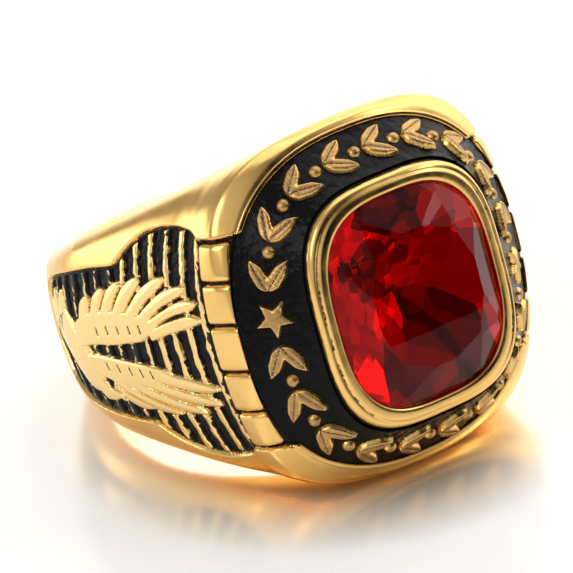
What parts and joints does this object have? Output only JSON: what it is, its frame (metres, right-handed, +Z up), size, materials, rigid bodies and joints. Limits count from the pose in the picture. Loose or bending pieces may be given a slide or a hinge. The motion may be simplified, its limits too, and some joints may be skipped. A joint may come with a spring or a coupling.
{
  "type": "class ring",
  "caption": "Gold class ring with a cushion-cut red stone in a raised bezel, a dark channel of raised leaves and stars round it, and a spread-wing bird in each side panel.",
  "frame": {"origin": "under the middle of the ring's box, at floor level", "axes": "+Z up from the floor. The ring lies on its side, so the finger's axis leans 15.3 degrees from +Z towards +Y. The stone faces -Y and a little down, the band's back is at +Y, and +X runs across the finger."},
  "size_m": [0.023, 0.0296, 0.0189],
  "materials": {
    "gold": "polished",
    "red_glass": "polished",
    "black_enamel": "gloss"
  },
  "bodies": {
    "root": {"ring_body": "gold", "stone": "red_glass", "channel_enamel": "black_enamel", "left_enamel": "black_enamel", "right_enamel": "black_enamel"}
  },
  "joints": []
}
